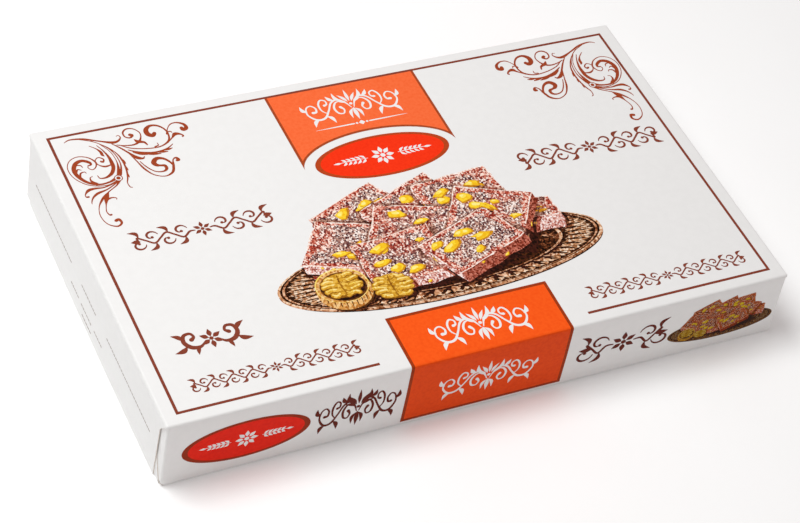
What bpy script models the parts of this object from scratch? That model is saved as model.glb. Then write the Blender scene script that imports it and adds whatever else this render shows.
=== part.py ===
"""A shut folding carton for sweets, one blank of folding boxboard closed at both ends.

Units are metres and +Z is up. X runs along the carton and Y across it, and the origin is the middle
of its base. Both ends close alike: the dust flaps of the front and back panels lie deepest, the flap
of the bottom panel lies on them, and the flap of the top panel covers both.
"""

import math

import bmesh
import bpy
from mathutils import Matrix, Vector

MM = 0.001

# Driving dimensions
LENGTH = 250 * MM  # between the outer faces of the two ends
WIDTH = 150 * MM
HEIGHT = 32 * MM
BOARD = 0.5 * MM  # thickness of the board
FOLD_RADIUS = 1.0 * MM  # outside radius of a creased fold
FOLD_SEGMENTS = 4

# The flap of the top panel: a shoulder cut from each corner of the fold, then a slight taper
SHOULDER = 5.0 * MM
OUTER_TAPER = 1.0 * MM
OUTER_CLEARANCE = 0.4 * MM  # from its free edge to the base

# The flap of the bottom panel, which narrows from its fold to its free edge
INNER_INSET = 0.6 * MM
INNER_TAPER = 9.0 * MM
INNER_RISE = 24.0 * MM

# The glued seam: the bottom panel stops short of the back fold and shows its cut edge
SEAM_SETBACK = 1.2 * MM

SINK = 1.2 * MM  # how far a flap's solid runs into the body, past the dust flaps' rounded folds
OVERSIZE = 5.0 * MM  # how far the seam's cutter runs past the carton

DUST_FACE = LENGTH / 2 - 2 * BOARD
INNER_FACE = LENGTH / 2 - BOARD
OUTER_FACE = LENGTH / 2


def clear_scene():
    """Removes what the file opened with."""
    for ob in list(bpy.data.objects):
        bpy.data.objects.remove(ob)


def make_collection(name):
    """Makes a collection in the scene."""
    collection = bpy.data.collections.new(name)
    bpy.context.scene.collection.children.link(collection)
    return collection


def add_object(name, bm, collection):
    """Turns a bmesh into an object of the collection, with its faces pointing out."""
    bmesh.ops.recalc_face_normals(bm, faces=bm.faces)
    mesh = bpy.data.meshes.new(name)
    bm.to_mesh(mesh)
    bm.free()
    ob = bpy.data.objects.new(name, mesh)
    collection.objects.link(ob)
    return ob


def add_block(size, centre):
    """A block as a bmesh, from its three sizes and its middle."""
    bm = bmesh.new()
    bmesh.ops.create_cube(bm, size=1.0)
    bmesh.ops.scale(bm, vec=size, verts=bm.verts)
    bmesh.ops.translate(bm, vec=centre, verts=bm.verts)
    return bm


def round_edges(bm, edges):
    """Rounds edges to the radius of a fold."""
    bmesh.ops.bevel(bm, geom=edges, affect="EDGES", offset=FOLD_RADIUS, offset_type="OFFSET",
                    segments=FOLD_SEGMENTS, profile=0.5, material=-1)


def runs_along(edge, axis):
    """Whether an edge runs along the X, Y or Z axis."""
    a, b = edge.verts
    return abs((b.co - a.co).normalized()[axis]) > 0.99


def make_body(collection):
    """The four long panels with the dust flaps, folded on every edge but those of the end flaps."""
    bm = add_block((2 * DUST_FACE, WIDTH, HEIGHT), (0, 0, HEIGHT / 2))
    folds = [edge for edge in bm.edges if not runs_along(edge, 1)]
    round_edges(bm, folds)
    return add_object("carton", bm, collection)


def mirrored(half_outline):
    """A closed outline from its half at positive Y, in order from the bottom to the top."""
    return half_outline + [(-y, z) for y, z in reversed(half_outline)]


def fold_corner():
    """The rounded section corner where the top panel meets a side panel, at positive Y."""
    y, z = WIDTH / 2 - FOLD_RADIUS, HEIGHT - FOLD_RADIUS
    angles = [math.radians(90) * step / FOLD_SEGMENTS for step in range(FOLD_SEGMENTS + 1)]
    return [(y + FOLD_RADIUS * math.cos(a), z + FOLD_RADIUS * math.sin(a)) for a in angles]


def outer_outline():
    """The flap of the top panel: narrower at its free lower edge, with a shoulder below the fold."""
    waist = WIDTH / 2 - SHOULDER
    return mirrored([
        (waist - OUTER_TAPER, OUTER_CLEARANCE),
        (waist, HEIGHT - FOLD_RADIUS - SHOULDER),
        *fold_corner(),
    ])


def inner_outline():
    """The flap of the bottom panel, widest at its fold."""
    wide = WIDTH / 2 - INNER_INSET
    return mirrored([(wide, 0.0), (wide - INNER_TAPER, INNER_RISE)])


def make_flap(name, side, face, outline, fold_z, collection):
    """A flap's solid at one end, from its outer face into the body, rounded where it is folded."""
    depth = face - DUST_FACE + SINK
    bm = bmesh.new()
    loop = [bm.verts.new((side * face, y, z)) for y, z in outline]
    plate = bm.faces.new(loop)
    walls = bmesh.ops.extrude_face_region(bm, geom=[plate])["geom"]
    moved = [item for item in walls if isinstance(item, bmesh.types.BMVert)]
    bmesh.ops.translate(bm, vec=(-side * depth, 0, 0), verts=moved)
    fold = [
        edge for edge in bm.edges
        if runs_along(edge, 1)
        and all(abs(v.co.x - side * face) < BOARD / 10 for v in edge.verts)
        and all(abs(v.co.z - fold_z) < BOARD / 10 for v in edge.verts)
    ]
    round_edges(bm, fold)
    return add_object(name, bm, collection)


def make_seam_cutter(collection):
    """The strip beside the back fold that the bottom panel leaves bare."""
    width = SEAM_SETBACK + OVERSIZE
    size = Vector((LENGTH + 2 * OVERSIZE, width, BOARD + OVERSIZE))
    centre = Vector((0, WIDTH / 2 - SEAM_SETBACK + width / 2, BOARD - size.z / 2))
    return add_object("seam_cutter", add_block(size, centre), collection)


def add_boolean(ob, operand, operation):
    """Joins or cuts with another object, which is then only a guide."""
    modifier = ob.modifiers.new(operand.name, "BOOLEAN")
    modifier.operation = operation
    modifier.solver = "EXACT"
    modifier.object = operand
    operand.hide_render = True
    operand.display_type = "WIRE"


def make_board_material():
    """White coated folding boxboard with a satin print varnish."""
    material = bpy.data.materials.new("coated_boxboard")
    material.use_nodes = True
    shader = material.node_tree.nodes["Principled BSDF"]
    shader.inputs["Base Color"].default_value = (0.85, 0.84, 0.83, 1.0)
    shader.inputs["Roughness"].default_value = 0.45
    shader.inputs["Metallic"].default_value = 0.0
    return material


def main():
    clear_scene()
    parts = make_collection("sweets_carton")
    cutters = make_collection("cutters")
    carton = make_body(parts)
    for side, end in ((-1, "left"), (1, "right")):
        inner = make_flap("inner_flap_" + end, side, INNER_FACE, inner_outline(), 0.0, cutters)
        outer = make_flap("outer_flap_" + end, side, OUTER_FACE, outer_outline(), HEIGHT, cutters)
        add_boolean(carton, inner, "UNION")
        add_boolean(carton, outer, "UNION")
    add_boolean(carton, make_seam_cutter(cutters), "DIFFERENCE")
    carton.data.materials.append(make_board_material())


main()
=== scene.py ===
# A shut folding carton of sweets: one printed blank of white folding boxboard, glued along its
# lower back edge and closed with tucked flaps at both ends, lying on a pale studio floor.

import math
import random

import bmesh
import bpy
from mathutils import Matrix, Vector, noise
from mathutils.bvhtree import BVHTree
from mathutils.geometry import delaunay_2d_cdt, interpolate_bezier


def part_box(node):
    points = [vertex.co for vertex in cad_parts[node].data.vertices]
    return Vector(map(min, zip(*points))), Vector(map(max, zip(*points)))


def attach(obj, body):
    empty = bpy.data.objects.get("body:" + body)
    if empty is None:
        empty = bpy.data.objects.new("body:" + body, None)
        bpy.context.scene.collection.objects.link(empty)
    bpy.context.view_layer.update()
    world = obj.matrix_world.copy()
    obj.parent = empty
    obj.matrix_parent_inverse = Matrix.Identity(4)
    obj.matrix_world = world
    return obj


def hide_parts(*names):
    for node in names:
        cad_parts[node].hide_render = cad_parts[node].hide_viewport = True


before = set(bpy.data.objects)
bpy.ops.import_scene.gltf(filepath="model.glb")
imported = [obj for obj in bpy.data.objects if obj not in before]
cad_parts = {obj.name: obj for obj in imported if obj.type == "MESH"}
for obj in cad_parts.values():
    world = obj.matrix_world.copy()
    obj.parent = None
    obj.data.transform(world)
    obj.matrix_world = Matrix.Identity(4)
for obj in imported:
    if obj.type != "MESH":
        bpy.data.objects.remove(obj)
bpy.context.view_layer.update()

# The board. The carton is one sheet of thin folding boxboard, white coated on the side that is
# printed and greyer inside, creased and folded round its girth, with a flap on each end of every
# panel. It is drawn flat in millimetres, s along the carton and t round it, then folded.
MM = 0.001
RIGHT_ANGLE = math.pi / 2

low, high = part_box("carton")
LENGTH, WIDTH, HEIGHT = (high - low) / MM
BOARD = 0.4  # thickness
FOLD = 1.0  # outside radius of a crease
ARC = FOLD * RIGHT_ANGLE  # flat board that a crease takes up
FOLD_STEPS = 6
CELL = 10.0  # the panels bend in pieces of this size
CELLS_ALONG, CELLS_ACROSS = range(-15, 16), range(-25, 12)  # the grid's lines, in cells from its middle
TAB = 15.0  # glue tab inside the base
TAB_LIFT = BOARD + 0.1
SEAM = 1.2  # the base stops this far short of the back
SHARP = math.radians(40)  # a crisper bend is shaded as an edge

TOP_EDGE = WIDTH / 2 - FOLD  # t where the top panel meets its two creases
SIDE_EDGE = TOP_EDGE + ARC  # t where the front and back panels begin
FRONT_FOOT = SIDE_EDGE + HEIGHT - 2 * FOLD
BACK_FOOT = SIDE_EDGE + HEIGHT - 2 * FOLD - TAB_LIFT
TAB_EDGE = BACK_FOOT + ARC + TAB
BASE_EDGE = FRONT_FOOT + ARC
BASE_END = BASE_EDGE + WIDTH - FOLD - SEAM
RUNS = (TAB, BACK_FOOT - SIDE_EDGE, 2 * TOP_EDGE, FRONT_FOOT - SIDE_EDGE, BASE_END - BASE_EDGE)

# Where the flaps of the top, the base, and the front and back start to bend
TOP_START = LENGTH / 2 - FOLD
BASE_START = TOP_START - 0.3
DUST_START = TOP_START - 0.6
FLAP_BULGE = 0.5  # how far the free edge of the outer flap springs back in its middle
SPREAD = (0.5, 1.4)  # how far the left and the right end stand out at their foot
BOW = 0.6  # how far the base rises between the ends

# Each panel: its two limits in t, the start of its flaps, and how far its middle swells
TOP_PANEL = (-TOP_EDGE, TOP_EDGE, TOP_START, 0.5)
BACK_PANEL = (SIDE_EDGE, BACK_FOOT, DUST_START, 0.25)
FRONT_PANEL = (-FRONT_FOOT, -SIDE_EDGE, DUST_START, 0.25)
BASE_PANEL = (-BASE_END, -BASE_EDGE, BASE_START, 0.0)
TAB_PANEL = (BACK_FOOT + ARC, TAB_EDGE, DUST_START, 0.0)
PANELS = (TOP_PANEL, BASE_PANEL, BACK_PANEL, FRONT_PANEL, TAB_PANEL)


def walk(t, lift):
    """Where a point of the blank comes on the carton's girth, lift above the printed face."""
    left = TAB_EDGE - t
    heading = 0.0
    place = Vector((WIDTH / 2 - FOLD - TAB, TAB_LIFT))
    for run in RUNS:
        ahead = Vector((math.cos(heading), math.sin(heading)))
        outward = Vector((math.sin(heading), -math.cos(heading)))
        if left <= run or run == RUNS[-1]:
            return place + ahead * left + outward * lift
        turn = min((left - run) / FOLD, RIGHT_ANGLE)
        turned = Vector((math.sin(heading + turn), -math.cos(heading + turn)))
        hub = place + ahead * run - outward * FOLD
        if turn < RIGHT_ANGLE:
            return hub + turned * (FOLD + lift)
        place = hub + turned * FOLD
        heading += RIGHT_ANGLE
        left -= run + ARC


def settle(place):
    """A point's place in the scene once the folded carton is filled and stands a little loose."""
    low = 1 - place.z / HEIGHT
    place.z += BOW * low * math.cos(math.pi * place.x / LENGTH)
    place.x *= 1 + 2 * SPREAD[place.x > 0] * low / LENGTH
    return place * MM


def corner(s, t, lift, past, over):
    """The place of a point at a corner of the top panel, where its two creases meet in a dome."""
    reach = math.hypot(past, over)
    turn = min(reach / FOLD, RIGHT_ANGLE)
    out = (FOLD + lift) * math.sin(turn) / reach
    return settle(Vector((math.copysign(TOP_START + out * past, s),
                          math.copysign(TOP_EDGE + out * over, t),
                          HEIGHT - FOLD + (FOLD + lift) * math.cos(turn))))


def fold(point):
    """The place in the scene of a point of the flat blank."""
    s, t, lift = point
    near, far, start, swell = next(
        panel for panel in PANELS if panel[0] - ARC <= t <= panel[1] + ARC)
    past = abs(s) - start
    if past <= 0:
        off = (2 * t - near - far) / (far - near)
        if abs(off) < 1:
            lift += swell * math.cos(RIGHT_ANGLE * off) * math.cos(RIGHT_ANGLE * s / start)
        y, z = walk(t, lift)
        return settle(Vector((s, y, z)))
    over = abs(t) - TOP_EDGE
    if start == TOP_START and over > 0:
        return corner(s, t, lift, past, over)
    turn = min(past / FOLD, RIGHT_ANGLE)
    across = start + (FOLD + lift) * math.sin(turn)
    if start == TOP_START:
        across += FLAP_BULGE * math.cos(math.pi * t / WIDTH) * (past / HEIGHT) ** 2
    depth = (FOLD + lift) * math.cos(turn) - FOLD - (past - turn * FOLD)
    anchor = min(max(t, near), far)
    rooted = walk(anchor, depth)
    beside = (walk(near, 0) - walk(far, 0)).normalized() * (anchor - t)
    return settle(Vector((math.copysign(across, s), *(rooted + beside))))


def cut_lines():
    """Lines of the flat blank, as (axis, place): steps across each crease, and a grid between."""
    bends = [start + ARC * k / FOLD_STEPS for start in (TOP_START, BASE_START, DUST_START)
             for k in range(FOLD_STEPS + 1)]
    along = bends + [-s for s in bends] + [k * CELL for k in CELLS_ALONG]
    creases = (TOP_EDGE, -SIDE_EDGE, BACK_FOOT, -BASE_EDGE)
    across = [start + ARC * k / FOLD_STEPS for start in creases for k in range(FOLD_STEPS + 1)]
    across += [k * CELL for k in CELLS_ACROSS if all(not 0 < k * CELL - t < ARC for t in creases)]
    return [(0, s) for s in along] + [(1, t) for t in across]


def cut(bm):
    """Cuts a flat piece of the blank along the lines that cross it."""
    for axis, place in cut_lines():
        reach = [v.co[axis] for v in bm.verts]
        if min(reach) < place < max(reach):
            side = Vector((axis == 0, axis == 1, 0))
            bmesh.ops.bisect_plane(bm, geom=bm.verts[:] + bm.edges[:] + bm.faces[:], dist=1e-4,
                                   plane_co=side * place, plane_no=side)


def add_piece(name, bm, materials):
    """Folds a flat piece into place, as an object that rides on the carton."""
    for v in bm.verts:
        v.co = fold(v.co)
    bmesh.ops.recalc_face_normals(bm, faces=bm.faces)
    mesh = bpy.data.meshes.new(name)
    bm.to_mesh(mesh)
    bm.free()
    mesh.shade_smooth()
    mesh.set_sharp_from_angle(angle=SHARP)
    for material in materials:
        mesh.materials.append(material)
    piece = bpy.data.objects.new(name, mesh)
    bpy.context.scene.collection.objects.link(piece)
    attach(piece, "root")
    return piece


def half_outline():
    """The edge of the blank at its right end, from the glue tab round to the end of the base."""
    dust_length, dust_slant = 38.0, 3.0
    tab_slant, tab_notch, tab_gap = 10.0, 2.0, 0.4
    shoulder, taper, slack = 5.0, 1.0, 0.4  # the outer flap's cut corner, taper and clearance
    slot, nick, hair = 0.6, 0.3, 0.1  # what the die clears beside the ends of the creases
    trim, bite = 0.7, 0.2  # the same at the base's flap
    dome = ARC - 0.05
    angles = [RIGHT_ANGLE * k / 5 for k in range(5, -1, -1)]
    top_flap = [
        *[(TOP_START + dome * math.cos(a), TOP_EDGE + dome * math.sin(a)) for a in angles],
        (TOP_START + ARC + shoulder, WIDTH / 2 - shoulder),
        (TOP_START + ARC + HEIGHT - FOLD - slack, WIDTH / 2 - shoulder - taper),
    ]
    base_rise, base_taper = 23.0, 10.0
    return [
        (DUST_START - tab_slant, TAB_EDGE),
        (DUST_START - slot, BACK_FOOT + ARC + tab_notch),
        (DUST_START - slot, BACK_FOOT + tab_gap),
        (DUST_START + dust_length, BACK_FOOT - dust_slant),
        (DUST_START + dust_length, SIDE_EDGE + dust_slant),
        (DUST_START + ARC, SIDE_EDGE + nick),
        (DUST_START - nick, SIDE_EDGE + hair),
        *top_flap,
        *[(s, -t) for s, t in reversed(top_flap)],
        (DUST_START - nick, -SIDE_EDGE - hair),
        (DUST_START + ARC, -SIDE_EDGE - nick),
        (DUST_START + dust_length, -SIDE_EDGE - dust_slant),
        (DUST_START + dust_length, -FRONT_FOOT + dust_slant),
        (DUST_START + ARC, -FRONT_FOOT + slot),
        (DUST_START - nick, -FRONT_FOOT - bite),
        (BASE_START - bite, -BASE_EDGE + trim),
        (BASE_START, -BASE_EDGE - bite),
        (BASE_START + ARC, -BASE_EDGE - trim),
        (BASE_START + ARC + base_rise, -BASE_EDGE - base_taper),
        (BASE_START + ARC + base_rise, -BASE_END + base_taper),
        (BASE_START + ARC, -BASE_END),
    ]


def linear(code):
    """A colour for a shader from its sRGB hex code."""
    parts = [int(code[k:k + 2], 16) / 255 for k in (1, 3, 5)]
    return (*[c / 12.92 if c <= 0.04045 else ((c + 0.055) / 1.055) ** 2.4 for c in parts], 1.0)


def add_node(tree, kind, inputs=(), **settings):
    """Adds a node with its settings, and gives its inputs values or links."""
    node = tree.nodes.new(kind)
    for key, value in settings.items():
        setattr(node, key, value)
    for socket, value in dict(inputs).items():
        if isinstance(value, bpy.types.NodeSocket):
            tree.links.new(value, node.inputs[socket])
        else:
            node.inputs[socket].default_value = value
    return node


def start_material(name, **values):
    """A material whose shader has these plain values, with its node tree and its coordinates."""
    material = bpy.data.materials.new(name)
    material.use_nodes = True
    tree = material.node_tree
    shader = tree.nodes["Principled BSDF"]
    for socket, value in values.items():
        shader.inputs[socket.replace("_", " ")].default_value = value
    place = add_node(tree, "ShaderNodeTexCoord").outputs["Object"]
    return material, tree, shader, place


def ramp_of(tree, amount, colours, stops):
    """A colour from an amount, by way of a few colours at even steps."""
    ramp = add_node(tree, "ShaderNodeValToRGB", {"Fac": amount})
    ends = ramp.color_ramp.elements
    ends[0].position, ends[1].position = stops
    ends[0].color, ends[1].color = linear(colours[0]), linear(colours[-1])
    for k, code in enumerate(colours[1:-1], 1):
        stop = ends.new(stops[0] + (stops[1] - stops[0]) * k / (len(colours) - 1))
        stop.color = linear(code)
    return ramp.outputs["Color"]


def vary(tree, place, size, colours, stops=(0.35, 0.65)):
    """A colour that wanders between a few, in patches of a size in millimetres."""
    wander = add_node(tree, "ShaderNodeTexNoise",
                      {"Vector": place, "Scale": 1 / (size * MM), "Detail": 3.0})
    return ramp_of(tree, wander.outputs["Fac"], colours, stops)


def roughen(tree, shader, place, size, height):
    """Fine relief on a shader, its grain and its height in millimetres."""
    grain = add_node(tree, "ShaderNodeTexNoise",
                     {"Vector": place, "Scale": 1 / (size * MM), "Detail": 3.0})
    bump = add_node(tree, "ShaderNodeBump",
                    {"Height": grain.outputs["Fac"], "Distance": height * MM, "Strength": 1.0})
    tree.links.new(bump.outputs["Normal"], shader.inputs["Normal"])


def coated_boxboard():
    """Clay-coated face of folding boxboard under a dispersion varnish: clean white, a soft satin
    shine, and a very slight cloudiness and orange-peel from the fibres below the coating."""
    material, tree, shader, place = start_material(
        "coated_boxboard", Roughness=0.45, IOR=1.5, Coat_Weight=0.12, Coat_Roughness=0.3)
    tone = vary(tree, place, 3.0, ("#EDECEB", "#EFEEED"))
    tree.links.new(tone, shader.inputs["Base Color"])
    roughen(tree, shader, place, 0.8, 0.004)
    return material


def uncoated_boxboard():
    """The bare inside of the board: mechanical pulp, a little cream and grey, dull and fibrous."""
    material, tree, shader, place = start_material("uncoated_boxboard", Roughness=0.85)
    tone = vary(tree, place, 1.6, ("#CFC7B6", "#DDD7C9"))
    tree.links.new(tone, shader.inputs["Base Color"])
    roughen(tree, shader, place, 0.3, 0.02)
    return material


def cut_boxboard():
    """The die-cut edge: a warm grey core of pulp between the white plies, ragged and matt."""
    material, tree, shader, place = start_material("cut_boxboard", Roughness=0.9)
    tone = vary(tree, place, 0.5, ("#DCD2C8", "#ECE4DC"))
    tree.links.new(tone, shader.inputs["Base Color"])
    roughen(tree, shader, place, 0.15, 0.03)
    return material


COATED_FACE, INNER_FACE, CUT_FACE = range(3)
outline = half_outline()
outline += [(-s, t) for s, t in reversed(outline)]
blank = bmesh.new()
sheet = blank.faces.new([blank.verts.new((s, t, 0)) for s, t in outline])
sheet.normal_update()
if sheet.normal.z < 0:
    sheet.normal_flip()
bmesh.ops.extrude_face_region(blank, geom=[sheet])
bmesh.ops.translate(blank, vec=(0, 0, -BOARD), verts=sheet.verts)
bmesh.ops.recalc_face_normals(blank, faces=blank.faces)
for face in blank.faces:
    face.material_index = CUT_FACE
    if abs(face.normal.z) > 0.5:
        face.material_index = COATED_FACE if face.normal.z > 0 else INNER_FACE
cut(blank)
board = add_piece("carton_board", blank, [coated_boxboard(), uncoated_boxboard(), cut_boxboard()])
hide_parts("carton")

# The brown frame. A plain printed rule runs round the top panel near its edges and breaks at the
# front for the orange field. Every ink lies on the board as a film of its own, cut from a flat
# drawing in which a later shape covers the earlier ones.
FILM = 0.035  # drawn thicker than ink, so that it stands clear of the board
SINK = 0.01
BARE = ("bare", None)
DRAWN, CLEARED = range(2)  # the plates of a drawing in one ink: its print, and bare board in it
SHADE = 100  # the mark of a drawn shade, which is no ink of its own
INK_GLOSS = {"Roughness": 0.42, "IOR": 1.45, "Specular_IOR_Level": 0.06}
LAYER = 1e-4  # how far each new point of a drawing lies above the one before
SKY = 100.0

LEFT, FRONT = -LENGTH / 2, -WIDTH / 2
TURN = Matrix.Rotation(math.pi, 4, "Z")  # takes the front's print to the back


def at(x, y):
    """A move in the plane of the flat drawings."""
    return Matrix.Translation((x, y, 0))


TOP_PLACE = at(LEFT, FRONT)


def level(art):
    """The height of the next shape of a drawing, above all the earlier ones."""
    return len(art.verts) * LAYER


def shape(art, ink, points):
    """A flat shape with straight sides."""
    height = level(art)
    face = art.faces.new([art.verts.new((*point[:2], height)) for point in points])
    face.material_index = ink


def bar(art, ink, left, lower, right, upper):
    """A rectangle."""
    shape(art, ink, [(left, lower), (right, lower), (right, upper), (left, upper)])


def stamp(art, place, draw, *details):
    """Draws something at another place, on top of what is drawn already."""
    part = bmesh.new()
    draw(part, *details)
    raised = Matrix.Translation((0, 0, level(art))) @ place
    bmesh.ops.transform(part, matrix=raised, verts=part.verts)
    copied = bpy.data.meshes.new("stamp")
    part.to_mesh(copied)
    part.free()
    art.from_mesh(copied)
    bpy.data.meshes.remove(copied)


def seen_ink(stack, colours, spot, deeper):
    """The ink that a look from above finds at a spot. A shade turns the ink below it deeper."""
    place, _, face, _ = stack.ray_cast((*spot, SKY), (0, 0, -1))
    shades = 0
    while face is not None and colours[face] == SHADE:
        shades += 1
        place, _, face, _ = stack.ray_cast(place - Vector((0, 0, LAYER / 2)), (0, 0, -1))
    if face is None:
        return None
    ink = colours[face]
    for _ in range(shades):
        ink = deeper[ink]
    return ink


def separate(art, count, deeper=None):
    """Separates a flat drawing into a plate for each ink. The drawing's shapes are stacked in the
    order they were drawn, and each small piece between their outlines takes the topmost ink."""
    art.verts.index_update()
    art.normal_update()
    stack = BVHTree.FromBMesh(art)
    colours = [face.material_index for face in art.faces]
    outlines = [[v.index for v in edge.verts] for edge in art.edges if len(edge.link_faces) == 1]
    flat = delaunay_2d_cdt([v.co.xy for v in art.verts], outlines, [], 0, 1e-4, False)
    spots, cells = flat[0], flat[2]
    plates = [bmesh.new() for _ in range(count)]
    corners = [{} for _ in range(count)]
    for cell in cells:
        middle = sum((spots[k] for k in cell), Vector((0, 0))) / len(cell)
        ink = seen_ink(stack, colours, middle, deeper)
        if ink is not None:
            for k in cell:
                if k not in corners[ink]:
                    corners[ink][k] = plates[ink].verts.new((*spots[k], 0))
            plates[ink].faces.new([corners[ink][k] for k in cell])
    art.free()
    for plate in plates:
        bmesh.ops.dissolve_degenerate(plate, dist=1e-3, edges=plate.edges)
    return plates


def press(name, plates, inks, place):
    """Prints plates on the blank at a place, each as a film of ink; an ink of None stays bare."""
    for plate, (part, material) in zip(plates, inks):
        if material is None or not plate.faces:
            continue
        film = plate.copy()
        rise = bmesh.ops.extrude_face_region(film, geom=film.faces[:])["geom"]
        risen = [item for item in rise if isinstance(item, bmesh.types.BMVert)]
        bmesh.ops.transform(film, matrix=place, verts=film.verts)
        bmesh.ops.translate(film, vec=(0, 0, -SINK), verts=film.verts)
        bmesh.ops.translate(film, vec=(0, 0, FILM + SINK), verts=risen)
        cut(film)
        add_piece(name + "_" + part, film, [material])


def print_once(name, art, inks, place):
    """Prints a drawing that is used in one place alone."""
    press(name, separate(art, len(inks)), inks, place)


def offset_ink(name, code, deeper):
    """A solid tint of offset ink under the same varnish: a satin surface like the board's, with the
    faint mottling that ink takes from the coating."""
    material, tree, shader, place = start_material(name, **INK_GLOSS)
    tone = vary(tree, place, 1.2, (deeper, code), stops=(0.3, 0.6))
    tree.links.new(tone, shader.inputs["Base Color"])
    roughen(tree, shader, place, 0.8, 0.004)
    return material


RULE = 1.1  # width of the frame's line
FRAME_INSETS = (5.2, 4.5, 5.7, 4.7)  # from the left, front, right and back of the top panel
FRAME_GAP = (81.4, 165.5)  # from the left, where its front side is broken

brown_ink = offset_ink("brown_offset_ink", "#8A4230", "#7E3A29")


def rule_frame(art, gap):
    """A frame of four rules inside a panel, its front side broken by a gap."""
    left, lower, right, upper = FRAME_INSETS
    right, upper = LENGTH - right, WIDTH - upper
    bar(art, DRAWN, left, lower, left + RULE, upper)
    bar(art, DRAWN, right - RULE, lower, right, upper)
    bar(art, DRAWN, left, upper - RULE, right, upper)
    bar(art, DRAWN, left, lower, gap[0], lower + RULE)
    bar(art, DRAWN, gap[1], lower, right, lower + RULE)


art = bmesh.new()
rule_frame(art, FRAME_GAP)
print_once("top_frame", art, [("rule", brown_ink)], TOP_PLACE)

# The corner flourishes. Two mirrored sprays of acanthus scrolls in rust ink fill the back corners
# of the top, each drawn with a pen that swells and thins as old engravers' scrolls do.


def smooth(points, steps):
    """A smooth line through points; their third number, the width of the pen, is smoothed too."""
    points = [Vector(point) for point in points]
    line = [points[0]]
    for k, (here, there) in enumerate(zip(points, points[1:])):
        before = points[max(k - 1, 0)]
        after = points[min(k + 2, len(points) - 1)]
        line += interpolate_bezier(here, here + (there - before) / 6, there - (after - here) / 6,
                                   there, steps + 1)[1:]
    return line


def disc(art, ink, centre, radii, turn=0.0, sides=40):
    """An ellipse."""
    place = Matrix.Translation((*centre[:2], level(art))) @ Matrix.Rotation(turn, 4, "Z")
    place = place @ Matrix.Diagonal((radii[0], radii[1], 1, 1))
    ring = bmesh.ops.create_circle(art, cap_ends=True, segments=sides, radius=1.0, matrix=place)
    ring["verts"][0].link_faces[0].material_index = ink


def stroke(art, ink, points, steps=7):
    """A stroke of the pen through points of (x, y, width), with round ends."""
    line = smooth(points, steps)
    count = len(line)
    height = level(art)
    strip = bmesh.ops.create_grid(art, x_segments=count - 1, y_segments=1, size=1.0)["verts"]
    for k in range(count):
        run = line[min(k + 1, count - 1)] - line[max(k - 1, 0)]
        side = Vector((-run.y, run.x, 0)).normalized() * line[k].z / 2
        middle = Vector((line[k].x, line[k].y, height))
        strip[k].co = middle - side
        strip[k + count].co = middle + side
    for face in {face for v in strip for face in v.link_faces}:
        face.material_index = ink
    for end in (line[0], line[-1]):
        disc(art, ink, end, (end.z / 2, end.z / 2), sides=12)


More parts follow.
